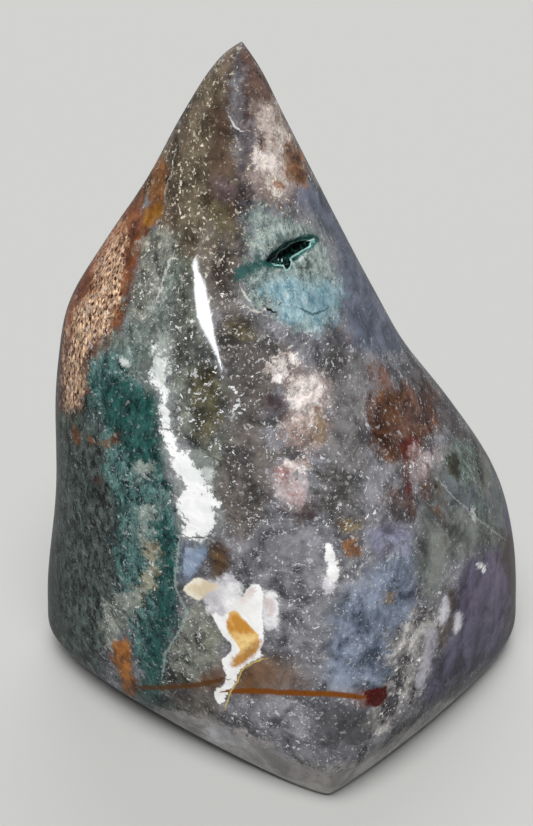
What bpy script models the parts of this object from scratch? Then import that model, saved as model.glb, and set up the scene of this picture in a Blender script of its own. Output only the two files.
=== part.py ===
"""Polished free-form flame of ocean jasper.

One natural stone: a broad, rounded base that climbs on the left to a shoulder and sweeps in
from the right to an off-centre tip. Four soft ridges run up the stone, on its left, front,
right and back. Level sections are closed curves that pass through the ridges, so the faces
between them are smooth. The base is undercut and stands on a small flat foot. A narrow open
vug lies across the upper front face, right of the front ridge.

X is to the right, the front faces -Y and +Z is up. The origin is on the floor, under the
middle of the stone. Sizes below are in millimetres and become metres with MM.
"""

import bmesh
import bpy
import numpy as np

MM = 0.001

# The ridges, from the floor to the tip: height, distance to the right, distance back and
# softness. Softness 0.55 turns the ridge into part of an ellipse; near 0 it is a sharp edge.
LEFT_RIDGE = [
    (0.0, -45.0, 2.0, 0.36),
    (5.0, -46.2, 2.0, 0.38),
    (12.0, -46.0, 2.0, 0.42),
    (40.0, -42.3, 2.0, 0.50),
    (68.0, -40.0, 2.0, 0.48),
    (80.0, -37.4, 2.0, 0.45),
    (92.0, -30.5, 2.0, 0.42),
    (105.0, -22.4, 1.0, 0.40),
    (118.0, -15.7, 0.0, 0.40),
    (127.0, -10.3, -1.0, 0.45),
    (130.0, -7.8, -1.5, 0.50),
    (131.0, -6.2, -1.7, 0.55),
]
FRONT_RIDGE = [
    (0.0, 9.2, -41.0, 0.06),
    (5.0, 9.8, -43.0, 0.09),
    (11.0, 10.2, -44.3, 0.16),
    (25.0, 10.0, -41.5, 0.30),
    (40.0, 8.0, -38.0, 0.42),
    (55.0, 4.0, -34.5, 0.45),
    (80.0, -3.0, -26.0, 0.42),
    (92.0, -5.0, -21.0, 0.40),
    (105.0, -6.0, -15.0, 0.35),
    (118.0, -6.3, -9.0, 0.32),
    (127.0, -6.4, -4.8, 0.40),
    (131.0, -6.0, -1.9, 0.55),
]
RIGHT_RIDGE = [
    (0.0, 46.9, 2.0, 0.21),
    (5.0, 48.4, 2.0, 0.25),
    (11.0, 48.3, 3.0, 0.29),
    (25.0, 46.8, 5.0, 0.36),
    (40.0, 42.3, 5.0, 0.42),
    (55.0, 33.1, 5.0, 0.45),
    (68.0, 23.9, 5.0, 0.45),
    (80.0, 17.9, 4.0, 0.45),
    (105.0, 6.3, 2.0, 0.40),
    (118.0, 0.6, 0.0, 0.40),
    (127.0, -3.4, -1.2, 0.45),
    (131.0, -5.8, -1.7, 0.55),
]
BACK_RIDGE = [
    (0.0, 4.0, 31.0, 0.45),
    (11.0, 4.0, 36.0, 0.48),
    (25.0, 4.0, 35.5, 0.50),
    (55.0, 1.0, 30.0, 0.50),
    (80.0, -4.5, 22.0, 0.50),
    (105.0, -6.5, 12.5, 0.45),
    (118.0, -6.6, 7.0, 0.42),
    (127.0, -6.6, 2.2, 0.45),
    (131.0, -6.0, -1.5, 0.55),
]
RIDGES = (LEFT_RIDGE, FRONT_RIDGE, RIGHT_RIDGE, BACK_RIDGE)
TOP = LEFT_RIDGE[-1][0]
TIP_RISE = 0.15

# The lower rim, where the sides turn under: turn round the stone and height of the rim.
# Turn 0 is the left ridge, 1 the front, 2 the right and 3 the back.
RIM = [
    (0.0, 6.0),
    (0.5, 6.4),
    (0.62, 4.0),
    (0.78, 1.4),
    (1.0, 1.0),
    (1.3, 1.6),
    (1.7, 3.0),
    (2.0, 3.6),
    (3.0, 5.5),
    (4.0, 6.0),
]
FOOT_SHARE = 0.72
FOOT_CENTRE = (7.0, -26.0)
UNDERSIDE_SHARES = (0.5, 0.85, 0.97)
UNDERSIDE_SWELL = 1.6
UNDERSIDE_LIFT = 0.9

# The open vug, a slit across the face between the front and the right ridge.
VUG_TURN = 1.44
VUG_HEIGHT = 98.9
VUG_HALF_LENGTH = 6.4
VUG_HALF_WIDTH = 1.5
VUG_TILT = -0.06
VUG_DEPTH = 3.2
VUG_WALL = 0.55
SMALL_TURN = 0.05
SMALL_RISE = 1.0

# How close together the mesh's upright lines and level rings are.
TURNS = 4.0
LINES_ROUND = 84
LINE_CROWDING = 1.0
VUG_TURNS_WIDE = 0.30
TURN_SAMPLES = 2001
VUG_RINGS_REACH = 2.3
BEVEL_TOP = 14.0
TIP_ZONE = 118.0
RINGS_IN_BEVEL = 9
RINGS_IN_BODY = 23
RINGS_AT_VUG = 8
RINGS_IN_NECK = 6
RINGS_AT_TIP = 6

STONE_COLOUR = (0.25, 0.25, 0.26, 1.0)
STONE_ROUGHNESS = 0.12


def smooth_line(points, places):
    """Values of a smooth curve through points, whose first column is the place along it."""
    table = np.array(points)
    along = table[:, 0]
    values = table[:, 1:]
    spans = np.diff(along)[:, None]
    slopes = np.diff(values, axis=0) / spans
    tangents = np.empty_like(values)
    tangents[0] = slopes[0]
    tangents[-1] = slopes[-1]
    tangents[1:-1] = spans[1:] * slopes[:-1] + spans[:-1] * slopes[1:]
    tangents[1:-1] /= spans[1:] + spans[:-1]
    start = np.clip(np.searchsorted(along, places, side="right") - 1, 0, len(along) - 2)
    span = spans[start]
    t = (places - along[start])[:, None] / span
    rise = values[start + 1] - values[start]
    ease = t * t * (3.0 - 2.0 * t)
    leave = t * (1.0 - t) ** 2 * span * tangents[start]
    arrive = t * t * (t - 1.0) * span * tangents[start + 1]
    return values[start] + ease * rise + leave + arrive


def rim_height(turns):
    return smooth_line(RIM, turns)[:, 0]


def face_points(turns, heights):
    """Points of the sides: each turn is a place between two ridges on its level section."""
    ridges = np.stack([smooth_line(ridge, heights) for ridge in RIDGES])
    first = np.minimum(turns.astype(int), 3)
    second = (first + 1) % 4
    row = np.arange(len(turns))
    here = ridges[first, row]
    there = ridges[second, row]
    side_first = (first % 2 == 0)[:, None]
    swapped = np.stack([there[:, 0], here[:, 1]], axis=1)
    straight = np.stack([here[:, 0], there[:, 1]], axis=1)
    corner = np.where(side_first, straight, swapped)
    start = here[:, :2]
    end = there[:, :2]
    leave = start + here[:, 2:] * (corner - start)
    arrive = end + there[:, 2:] * (corner - end)
    t = (turns - first)[:, None]
    flat = (1 - t) ** 3 * start + 3 * t * (1 - t) ** 2 * leave
    flat += 3 * t * t * (1 - t) * arrive + t**3 * end
    return np.column_stack([flat, heights])


def upright_turns():
    """Turns of the upright lines, crowded together round the vug."""
    even = np.linspace(0.0, TURNS, TURN_SAMPLES)
    nearness = np.exp(-(((even - VUG_TURN) / VUG_TURNS_WIDE) ** 4))
    count = np.cumsum(1.0 + LINE_CROWDING * nearness)
    count = (count - count[0]) / (count[-1] - count[0])
    return np.interp(np.arange(LINES_ROUND) / LINES_ROUND, count, even)


def ring_shares():
    """Heights of the level rings as shares of the way from the rim to the top."""
    low = rim_height(np.array([VUG_TURN]))[0]
    vug_low = VUG_HEIGHT - VUG_RINGS_REACH
    vug_high = VUG_HEIGHT + VUG_RINGS_REACH
    stops = (low, BEVEL_TOP, vug_low, vug_high, TIP_ZONE, TOP)
    counts = (RINGS_IN_BEVEL, RINGS_IN_BODY, RINGS_AT_VUG, RINGS_IN_NECK, RINGS_AT_TIP)
    zones = [
        np.linspace(bottom, top, count, endpoint=False)
        for bottom, top, count in zip(stops, stops[1:], counts)
    ]
    heights = np.append(np.concatenate(zones), TOP)
    return (heights - low) / (TOP - low)


def underside(turns):
    """Rings from the flat foot out to just inside the rim."""
    rim = rim_height(turns)
    edge = face_points(turns, rim)[:, :2]
    floor = face_points(turns, np.zeros(len(turns)))[:, :2]
    centre = np.array(FOOT_CENTRE)
    foot = centre + FOOT_SHARE * (floor - centre)
    rings = [np.column_stack([foot, np.zeros(len(turns))])]
    for share in UNDERSIDE_SHARES:
        out = foot + share * (edge - foot)
        rings.append(np.column_stack([out, UNDERSIDE_LIFT * share**UNDERSIDE_SWELL * rim]))
    return rings


def sides(turns):
    """Rings from the rim to the top."""
    rim = rim_height(turns)
    return [face_points(turns, rim + share * (TOP - rim)) for share in ring_shares()]


def vug_directions():
    """Middle of the slit, the direction along it and the direction into the stone."""
    turns = np.array([VUG_TURN, VUG_TURN + SMALL_TURN, VUG_TURN])
    heights = np.array([VUG_HEIGHT, VUG_HEIGHT, VUG_HEIGHT + SMALL_RISE])
    middle, beside, above = face_points(turns, heights)
    along = (beside - middle) / np.linalg.norm(beside - middle)
    inward = np.cross(above - middle, along)
    return middle, along, inward / np.linalg.norm(inward)


def open_vug(points):
    """Push the points inside the slit's outline into the stone."""
    middle, along, inward = vug_directions()
    offset = points - middle
    length = offset @ along
    width = offset[:, 2] - VUG_TILT * length
    inside = 1.0 - (length / VUG_HALF_LENGTH) ** 2 - np.abs(width) / VUG_HALF_WIDTH
    on_this_face = offset @ inward < VUG_HALF_LENGTH
    wall = np.clip(inside / VUG_WALL, 0.0, 1.0) * on_this_face
    depth = VUG_DEPTH * wall * wall * (3.0 - 2.0 * wall)
    return points + depth[:, None] * inward


def skin(rings, name):
    """Closed mesh over the rings, with a flat foot below and a closed tip above."""
    form = bmesh.new()
    rows = [[form.verts.new(point * MM) for point in ring] for ring in rings]
    lines = len(rows[0])
    for lower, upper in zip(rows, rows[1:]):
        for i in range(lines):
            j = (i + 1) % lines
            form.faces.new((lower[i], lower[j], upper[j], upper[i]))
    form.faces.new(reversed(rows[0]))
    tip = rings[-1].mean(axis=0)
    tip[2] += TIP_RISE
    apex = form.verts.new(tip * MM)
    for i in range(lines):
        form.faces.new((rows[-1][i], rows[-1][(i + 1) % lines], apex))
    mesh = bpy.data.meshes.new(name)
    form.to_mesh(mesh)
    form.free()
    mesh.shade_smooth()
    return mesh


def polished_stone():
    material = bpy.data.materials.new("polished_jasper")
    material.use_nodes = True
    shader = material.node_tree.nodes["Principled BSDF"]
    shader.inputs["Base Color"].default_value = STONE_COLOUR
    shader.inputs["Roughness"].default_value = STONE_ROUGHNESS
    shader.inputs["Metallic"].default_value = 0.0
    return material


def centred(rings):
    """The rings moved level, so that the origin lies under the middle of their box."""
    points = np.concatenate(rings)
    middle = (points.min(axis=0) + points.max(axis=0)) / 2.0
    middle[2] = 0.0
    return [ring - middle for ring in rings]


def jasper_flame():
    turns = upright_turns()
    rings = underside(turns) + [open_vug(ring) for ring in sides(turns)]
    mesh = skin(centred(rings), "jasper_flame")
    mesh.materials.append(polished_stone())
    stone = bpy.data.objects.new("jasper_flame", mesh)
    bpy.context.scene.collection.objects.link(stone)
    return stone


def clear_scene():
    for thing in list(bpy.data.objects):
        bpy.data.objects.remove(thing)


clear_scene()
jasper_flame()
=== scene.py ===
"""A polished free-form flame of ocean jasper, with its coloured beds, veins, flecks and one crystal vug."""
import math
from collections import namedtuple

import bmesh
import bpy
import numpy as np
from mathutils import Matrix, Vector


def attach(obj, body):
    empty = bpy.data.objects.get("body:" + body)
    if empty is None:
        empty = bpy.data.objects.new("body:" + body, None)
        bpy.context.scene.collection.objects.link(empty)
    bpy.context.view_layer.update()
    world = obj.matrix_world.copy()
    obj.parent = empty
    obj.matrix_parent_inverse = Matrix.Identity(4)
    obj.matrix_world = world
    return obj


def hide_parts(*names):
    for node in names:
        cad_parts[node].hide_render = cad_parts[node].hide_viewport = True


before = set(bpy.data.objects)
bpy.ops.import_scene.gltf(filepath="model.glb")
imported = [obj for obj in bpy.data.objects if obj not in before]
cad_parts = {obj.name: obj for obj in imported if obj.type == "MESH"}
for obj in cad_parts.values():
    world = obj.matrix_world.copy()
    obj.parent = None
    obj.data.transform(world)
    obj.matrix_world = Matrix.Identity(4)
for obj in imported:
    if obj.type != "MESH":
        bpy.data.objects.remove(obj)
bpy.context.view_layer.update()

MM = 0.001
MM_PER_METRE = 1000.0
STONE_NODE = "jasper_flame"

# The markings are drawn on two sheets that stand square across two sight lines onto the stone. A sheet is
# SHEET_WIDE by SHEET_TALL steps, x runs to the right and y down, and a step is about 0.2 mm on the stone.
# A sight line is its azimuth and elevation in degrees. The camera looks along the front one.
SHEET_WIDE, SHEET_TALL = 533, 826
LENS, SENSOR = 75.0, 36.0
NEAR_CLIP, FAR_CLIP = .01, 20.0
SIGHT_TARGET = np.array((-0.003107, 0.003940, 0.0576))
SIGHT_DISTANCE = 0.318
FRONT_SIGHT = (0.0, 35.0)
BACK_SIGHT = (180.0, 20.0)

# No distance to an outline is measured past FAR_REACH steps. A sheet's marks run round the stone's side
# until the skin faces away from the sheet's eye by this cosine, and a deep bed is placed by the skin
# that faces the eye by at least as much.
FAR_REACH = 60.0
WRAP = .3

# An outline's corners are eased by a curve with this many points to a corner
LOOP_STEPS = 3
# A vein thins over the last TAPER_RUN steps at each end, by TAPER_SLOPE to a step. Outside its own
# margin, which its raggedness widens, it fades out over VEIN_MARGIN steps.
TAPER_RUN, TAPER_SLOPE = 4.0, .3
VEIN_MARGIN, RAGGED_MARGIN = 4.0, 1.5
# A vein wider than this has no pale flecks in it
CLEAR_WIDTH = 4.0

# Polish deepens each tint of the stone: its lightness is raised to this power. Red, green and blue
# count in the lightness by these shares.
POLISH_DEPTH = 1.2
LIGHTNESS = (.21, .72, .07)
# The gloss of the stone and of the crystals
STONE_ROUGHNESS, CRYSTAL_ROUGHNESS, QUARTZ_IOR, STONE_SPECULAR = .06, .12, 1.54, .32

# The ground of the stone, under all the beds: its tints and its shares of pale flecks and dark specks
BASE_TINTS = ("5a5a5f", "9a999f")
BASE_FLECKS, BASE_SPECKS = .52, .18

# A noise is its waves to a millimetre, its detail and its roughness, and its bend if it has one. Its
# values from 0 to 1 are stretched to about -1 to 1. Broad, mid and fine noises added up make the
# beds' edges wander, and grit makes their dust.
NOISE_SPAN, NOISE_LOW = 4.0, -2.0
BROAD_WAVES, MID_WAVES, FINE_WAVES = (.26, 2, .6), (1.1, 2, .6), (3.0, 1, .5)
MID_SHARE, FINE_SHARE = .55, .35
GRIT_WAVES = (1.8, 2, .8)
# The dust at a bed's edge: how far it strays and how sharply it steps, as shares of the edge's softness
DUST_REACH, DUST_STEP = .50, .95

# The three patterns that mix a bed's two tints: how the stone's space is stretched for it, its noise,
# and then its contrast and middle
CLOUD_WAVES, CLOUD_CONTRAST, CLOUD_MIDDLE = (.17, 4, .68, .5), 1.1, .5
FIBRE_DRAW, FIBRE_WAVES = (1.0, 1.0, .6), (.55, 4, .85, .3)
FIBRE_CONTRAST, FIBRE_MIDDLE = 1.1, .42
SPARKLE_DRAW, SPARKLE_WAVES = (1.0, 1.0, .5), (1.5, 3, .9)
SPARKLE_CONTRAST, SPARKLE_MIDDLE = .75, .36
# The sparkle's crystals: how many to a millimetre, where each fades out and is full, and its tone
GLINTS, GLINT_RIM, GLINT_CORE = 1.9, .75, .25
GLINT_CONTRAST, GLINT_MIDDLE = 1.4, -.62

# Mottling in all the stone: its noise and strength, how it grows with the flecks, and its darkest
MOTTLE_WAVES, MOTTLE_STRENGTH = (.5, 4, .85), .80
GRAIN_CONTRAST, GRAIN_FLOOR, MOTTLE_DARKEST = .55, .05, .15

# Each kind of stroke: its cell's width, half length and radius in mm, and how readily pale and dark
# ones appear. A noise bends them, a second one crowds them, and their edges are blurred by STROKE_BLUR.
STROKES = ((.80, .27, .105, 1.9, 2.0), (1.2, .42, .145, 1.8, 1.2), (2.0, .62, .22, 1.5, .2))
STROKE_BEND, BEND_WAVES = .48, (1.1, 3, .7)
CROWDING, CROWD_WAVES = .65, (.24, 3, .8)
STROKE_BLUR = .05
# A stroke's thickness as a share of its radius: the least, and how much more the thickest has
THICK_LEAST, THICK_SPREAD = .6, .8
# How sharply a cell is chosen to hold a stroke or not
CHOICE_STEP = 4.0
# How strongly a pale stroke shows: the least, how much more the strongest does, and how few are strong
GLOW_LEAST, GLOW_SPREAD, GLOW_POWER = .20, .80, 1.8
# A pit's length as a share of a stroke's, and how strongly it shows: the least, and how much more
PIT_LENGTH, PIT_LEAST, PIT_SPREAD = .6, .5, .5
# A pale stroke's shadow lies beside it by this many mm. Then the shadow's strength, how deeply shadows
# and pits darken the stone, and their tints.
SHADOW_SHIFT = (.13, 0.0, -.13)
SHADOW_STRENGTH, DARK_DEPTH = .7, .85
SHADOW_TINT, PIT_TINT = "14120f", "0c0a08"
# The pale strokes turn from white to cream between these heights, in mm
CREAM_HEIGHTS = (80.0, 110.0)
FLECK_TINTS = ("f6f8fa", "f2e8d0")

# The skin: how near vertices merge, the angles up to which triangles join into quads,
# the rounds of subdivision, and the wave that hand polishing leaves, whose length is in mm
MERGE_GAP = 0.001 * MM
JOIN_BEND, JOIN_SKEW = math.radians(60), math.radians(100)
ROUNDS = 2
RIPPLE_HEIGHT = 0.10 * MM
RIPPLE_SIZE, RIPPLE_DETAIL = 16.0, 1.0

# The crystals on the vug's walls, which start this many steps inside the edge of its mouth
DRUSE_EDGE = 1.2
CRYSTALS_PER_METRE2 = 3.2e6
CRYSTAL_LENGTH, CRYSTAL_WIDTH, CRYSTAL_TILT = 1.0 * MM, 0.5 * MM, .45
CRYSTAL_SIDES = 6
# How far a crystal's top is drawn in to a point, and how it leans and turns before the tilt scales it
POINT_PINCH = -.94
SWAY_LOW, SWAY_HIGH = (-1, -1, 0), (1, 1, 6)
SMALLEST_CRYSTAL, LARGEST_CRYSTAL = .45, 1.25
CRYSTAL_SEED = 7
CRYSTAL_TINTS = ("03100e", "1d5a50")
CRYSTAL_WAVES, CRYSTAL_CONTRAST, CRYSTAL_MIDDLE = (1.4, 3, .7), .7, .3

# The room: how brightly it lights the stone's shade, the tints of its light, its wall and its floor
ROOM_GLOW, ROOM_TINT, WALL_TINT = .19, "f2f4f4", "c9ccc9"
FLOOR_HALF, FLOOR_TINT, FLOOR_ROUGHNESS = 6.0, "a8a8a6", .9
# A soft light: its name, azimuth, elevation and spread in degrees, and its strength
SOFT_LIGHTS = (("key", -4, 70, 36, 4.0), ("back_light", 172, 50, 40, 1.0))
# The ribbon of light whose reflection is the streak on the skin: azimuth, elevation and thickness in
# degrees along it, as seen from its centre, and how far away and how bright it is
GLEAM = ((-64, 14.9, .3), (-61.2, 14.7, 1.3), (-54.3, 12.5, 2.8), (-48.9, 11.0, 4.3),
         (-42.7, 9.5, 4.2), (-36.6, 7.6, 2.9), (-30.3, 4.9, 1.6), (-25.6, 1.9, .6))
GLEAM_CENTRE, GLEAM_DISTANCE = (-0.014, -0.014, 0.093), .16
GLEAM_GLOW, GLEAM_TINT = 42.0, "f6faff"

# The mouth of the vug, and the darkest part inside its rim: the dark green lining, painted near black as the
# hollow's shade
SLIT = "316,239 302,238 286,244 276,254 266,264 283,266 290,262 297,255 306,249"
SLIT_RIM = ("270,261 276,257 277,253 281,250 287,247 290,244 297,242 305,240 311,241 309,246 303,250 "
            "297,254 293,256 290,259 292,262 290,267 286,270 283,265 275,265")

# A bed of colour: its dark and light tints, how soft and ragged its edge is in sheet steps, how much
# it covers, and the shares of pale flecks and dark specks in it. Its outlines lie on the front and
# back sheets. A deep bed runs that many millimetres into the stone behind its front outline, grow
# widens the outlines, and the pattern is the one that mixes the two tints. Later beds lie over earlier.
Bed = namedtuple("Bed", "name low high soft ragged cover pale dark front back deep grow pattern",
                 defaults=((), (), 0, 0, "cloud"))
BEDS = [
    # The crown, and the specked middle below it
    Bed("olive_crown", "3e3228", "7c6a58", 8, 9, .95, .55, .25,
        ["238,42 224,52 208,69 189,99 168,133 150,160 150,200 160,232 176,262 196,300 214,300 232,270 "
         "242,230 244,200 240,160 232,120 234,80"],
        ["290,8 312,40 345,85 372,130 390,165 372,210 340,230 318,190 306,140 296,90 286,50"]),
    Bed("brown_crown", "4c382c", "7e6454", 8, 7, .6, .06, .15,
        ["236,88 231,110 228,140 234,165 236,215 226,250 214,262 212,225 208,190 206,150 211,120 220,95"],
        ["300,150 320,170 330,210 316,240 300,220 294,180"]),
    Bed("worm_band", "4a4234", "9a8d76", 9, 9, .55, 1.15, .3,
        ["214,62 222,66 214,92 207,120 204,150 202,180 208,215 214,250 200,268 182,256 170,232 172,200 "
         "178,165 186,130 198,92"],
        ["318,60 344,90 366,130 378,170 362,204 340,180 326,130", "262,230 284,240 290,290 276,320 258,290"]),
    # The grey band down the crown's ridge is partly the stone's own grey mottling and partly a painted
    # reflection: the room's grey sheen along the ridge.
    Bed("crown_ridge", "383036", "6c6468", 4, 5, .8, .35, .25,
        ["238,46 243,56 246,80 250,112 254,150 255,190 250,218 243,214 240,180 240,150 234,128 233,100 "
         "236,76"],
        ["286,20 300,60 304,120 300,180 284,200 276,150 278,90"]),
    Bed("smoky_cloud", "46403c", "8a817a", 10, 12, .85, .55, .22,
        ["205,225 240,228 248,262 246,300 262,334 288,340 284,372 272,394 268,430 276,470 262,520 "
         "240,540 222,520 214,470 222,420 214,360 212,320 203,290"],
        ["226,250 262,262 270,330 250,380 226,370 214,310"]),
    Bed("moss_speckle", "33382f", "868b7e", 10, 10, .88, 1, .42,
        ["166,252 196,266 206,330 216,360 226,400 224,450 214,484 200,464 184,440 174,400 168,350 166,300"],
        ["250,200 284,210 296,260 286,330 300,390 286,440 256,430 240,380 236,320 232,260"]),
    Bed("olive_patch", "42391f", "857b58", 8, 9, .7, .6, .3,
        ["190,372 214,374 222,410 212,440 198,430", "205,200 230,200 236,226 214,236",
         "228,322 250,318 256,338 238,342"],
        ["322,346 346,342 352,366 334,374"]),
    # Rust, rose and cream on the right of the crown and down the middle
    Bed("rusty_brow", "5a3a2a", "8c6a5a", 6, 7, .8, .15, .4,
        ["242,50 256,58 279,100 286,122 272,116 256,110 247,118 244,92 242,66"],
        ["268,44 280,60 278,90 262,100 254,82"]),
    Bed("rose_veil", "7c6862", "baa8a2", 9, 9, .85, .7, .25,
        ["254,104 268,98 282,104 294,128 304,152 310,180 298,198 280,206 262,200 250,188 250,150 254,124",
         "288,368 306,366 326,376 334,396 330,430 316,452 296,456 284,440 286,410 282,390"],
        ["262,90 278,100 282,140 270,184 248,192 234,160 242,124",
         "240,380 300,372 322,430 312,500 290,540 250,520 236,460"]),
    Bed("rose_cream", "a08478", "f6ece6", 4, 8, .75, 1.3, .8,
        ["264,114 272,108 280,122 290,134 292,150 284,172 288,186 276,194 262,186 258,160 260,140 258,126",
         "271,362 278,356 284,353 290,352 295,357 298,364 291,363 288,371 284,378 278,381 275,376 270,370",
         "300,376 304,375 308,378 314,375 315,382 322,384 326,386 322,392 320,400 319,408 317,414 "
         "314,420 316,426 309,424 306,432 304,437 292,437 290,430 285,424 288,416 289,408 286,400 "
         "289,394 286,388 293,386 292,380 297,380",
         "284,456 296,462 304,458 306,468 298,474 286,470", "276,422 283,424 284,440 278,442"],
        ["262,110 274,116 272,150 256,164 250,140",
         "264,404 282,402 290,430 282,456 290,480 276,494 264,470 262,436"]),
    Bed("rose_heart", "efe0dc", "fffaf8", 3, 5, .85, .1, 0,
        ["271,156 276,157 275,161 272,170 266,172 267,164",
         "312,401 316,390 319,384 324,384 321,392 318,400", "277,373 281,376 280,380 276,379",
         "297,394 302,392 304,402 300,410 296,406"]),
    # Slate, and the pale pool round the slit
    Bed("slate_violet", "535a6a", "7f869b", 11, 4, .9, .12, .08,
        ["318,188 334,208 350,238 366,270 388,306 404,330 400,352 372,354 350,346 345,320 342,290 "
         "338,262 330,235 314,215 296,200 300,186"], deep=200),
    Bed("smoky_slate", "565350", "908c8d", 10, 9, .85, .4, .2,
        ["326,346 372,356 372,392 366,430 362,480 350,520 328,520 318,486 326,446 334,400"],
        ["180,300 250,290 280,350 276,440 250,520 180,520 140,470 150,380"]),
    Bed("aqua_pool", "5c706e", "b6c6c0", 7, 9, .9, .4, .3,
        ["243,222 250,214 262,207 275,211 288,215 300,221 312,227 322,240 328,256 332,270 338,285 "
         "336,305 330,320 318,328 300,330 285,322 272,314 262,310 250,303 242,292 241,280 247,268 "
         "252,255 255,240 250,230"],
        ["300,250 330,236 362,250 376,285 366,320 336,336 306,326 290,290"], pattern="fibre"),
    Bed("sky_pool", "6c9cae", "c2dee6", 12, 10, .78, .35, .2,
        ["272,282 290,276 306,282 330,286 339,298 334,318 318,326 296,322 278,310 268,296"],
        ["320,286 350,284 362,306 344,326 318,318"], pattern="fibre"),
    Bed("pool_blue", "4e7a8c", "86b0be", 9, 6, .55, .05, .1,
        ["308,290 326,288 336,300 330,314 314,312 306,302"]),
    Bed("pool_shadow", "12403f", "35706c", 5, 5, .9, 0, 0,
        ["276,251 264,258 252,263 240,268 236,280 248,276 262,270 276,266"]),
    # The left side: copper, moss and teal
    Bed("copper_shade", "401c12", "94583e", 5, 7, .95, .3, .4,
        ["128,200 150,222 149,240 140,258 134,275 130,295 127,315 119,335 106,349 97,361 93,377 92,404 "
         "80,428 60,444 40,450 28,300 56,280 74,250 98,225"],
        ["404,192 434,236 460,285 474,330 466,362 444,350 426,306 406,262 394,222"]),
    Bed("copper", "5e2410", "ffd8b2", 6, 7, 1, .45, .5,
        ["112,222 126,226 130,244 124,262 124,280 120,300 116,318 108,330 98,342 90,352 86,370 84,396 "
         "76,414 66,424 62,400 64,370 66,340 66,320 76,300 88,276 98,250"],
        ["412,216 430,250 450,290 464,330 450,338 434,304 414,256"], pattern="sparkle"),
    Bed("rust_seam", "481e10", "985a32", 5, 7, .85, .1, .45,
        ["146,222 152,236 144,262 138,284 132,304 124,320 116,330 112,326 120,300 122,276 128,250 136,230",
         "78,276 92,274 92,290 80,296"],
        ["398,205 410,222 430,290 440,336 428,340 416,300 402,250"]),
    Bed("moss_haze", "46554f", "8f9e95", 9, 8, .9, .4, .4,
        ["150,236 170,232 176,262 170,300 164,345 160,366 140,370 118,370 100,374 92,382 92,362 105,347 "
         "119,333 128,314 133,291 139,271"],
        ["380,230 404,262 424,320 420,372 396,380 378,340 372,280"], pattern="fibre"),
    Bed("ash_haze", "5c6460", "a9b2ac", 9, 9, .7, .6, .3,
        ["150,262 166,256 172,290 168,330 166,352 152,348 142,330 146,296"],
        ["372,250 386,262 392,310 382,340 372,310"], pattern="fibre"),
    Bed("pepper", "4f4e47", "a8a79b", 5, 7, .7, 1.3, 1.7,
        ["142,236 166,224 172,245 166,272 156,300 142,320 128,324 132,292 138,262"],
        ["384,216 398,228 402,256 388,262"]),
    Bed("moss_grey", "131e1d", "6e7f78", 9, 10, .95, .2, .55,
        ["30,412 70,412 88,396 104,424 120,446 130,470 132,500 138,530 135,560 122,590 110,620 106,650 "
         "102,690 60,676 20,640"],
        ["440,360 478,380 484,440 484,520 492,600 496,660 450,690 420,640 430,560 424,480 428,420"],
        pattern="fibre"),
    # Painted shade: a dark band down the lower left rim, where the stone turns away from the light.
    Bed("rim_shade", "181c1c", "363c3b", 14, 8, .45, .05, .2,
        ["30,520 62,540 68,580 66,620 72,660 90,690 40,690 20,600"]),
    Bed("teal", "06383a", "729e9a", 6, 10, .97, .42, .25,
        ["96,362 125,354 142,362 154,392 160,420 163,450 172,490 180,530 178,560 176,590 178,606 173,634 "
         "166,655 163,690 150,698 138,668 134,640 128,606 118,592 114,560 116,520 112,490 108,470 "
         "104,448 96,426 92,405 90,380"],
        ["372,340 410,350 436,392 444,450 436,510 440,570 428,630 420,700 366,706 352,640 366,590 "
         "356,540 366,480 352,430 356,380"], pattern="fibre"),
    Bed("deep_teal", "032a2c", "35766f", 8, 12, .85, .18, .5,
        ["98,384 116,376 142,384 158,402 162,430 164,456 160,476 144,478 130,462 116,440 104,416",
         "156,512 168,508 178,520 176,556 170,590 176,610 172,640 166,660 158,690 148,676 144,644 "
         "154,604 160,566 152,540"],
        ["380,380 420,390 430,450 420,520 430,590 414,660 384,690 372,630 384,570 376,520 382,450 372,410"],
        pattern="fibre"),
    Bed("teal_foot", "143430", "46685f", 8, 8, .8, .2, .2,
        ["120,676 160,690 210,716 230,738 180,730 130,702"],
        ["360,690 410,690 430,712 380,722"]),
    Bed("pale_moss", "62766f", "bcc6be", 5, 9, .7, .55, .2,
        ["132,528 136,514 142,506 152,500 168,496 172,504 158,512 150,522 148,540 138,544",
         "134,466 148,462 150,478 138,482", "122,356 130,358 132,374 124,378"],
        ["432,396 446,392 450,416 438,424", "404,520 416,516 420,540 408,548"]),
    Bed("tan_gold", "57492f", "d2c4a2", 3, 8, .5, 1, .9,
        ["144,543 158,541 160,560 156,580 152,592 140,602 136,594 143,566"],
        ["440,470 452,466 456,500 448,540 438,530"]),
    Bed("ash_moss", "505c57", "b2b7ac", 5, 9, .85, .8, .35,
        ["138,588 144,596 136,612 122,634 106,642 102,622 112,598"],
        ["430,600 446,610 440,650 424,660 418,630"]),
    # Rust and gold marks
    Bed("rust_pipe", "70400f", "c88036", 2.5, 4, .92, .2, .4,
        ["112,641 127,640 131,660 137,680 138,694 125,692 118,670 112,655"]),
    Bed("tan_rust", "5e371b", "b87f50", 5, 7, .85, .2, .75,
        ["288,142 296,148 302,160 310,174 306,182 294,184 286,178 284,160",
         "277,182 285,182 285,190 278,190"],
        ["196,262 220,258 232,288 214,308 194,292"]),
    Bed("burnt_umber", "26160c", "5c3c24", 5, 5, .6, .05, .3,
        ["293,170 302,170 302,180 293,181", "288,158 296,158 294,163 288,163",
         "281,186 285,186 284,190 280,190", "285,149 288,150 287,154 284,153"]),
    Bed("orange_fleck", "6c3a18", "b57c48", 3, 6, .8, .25, .35,
        ["72,430 80,430 79,444 72,443", "91,438 104,442 118,428 121,436 110,447 94,446",
         "158,161 169,166 166,190 161,212 148,228 139,232 147,205 152,180",
         "346,541 358,541 361,553 352,557 345,551"],
        ["384,150 396,170 404,200 392,196 382,172", "120,520 134,516 138,530 124,536"]),
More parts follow.
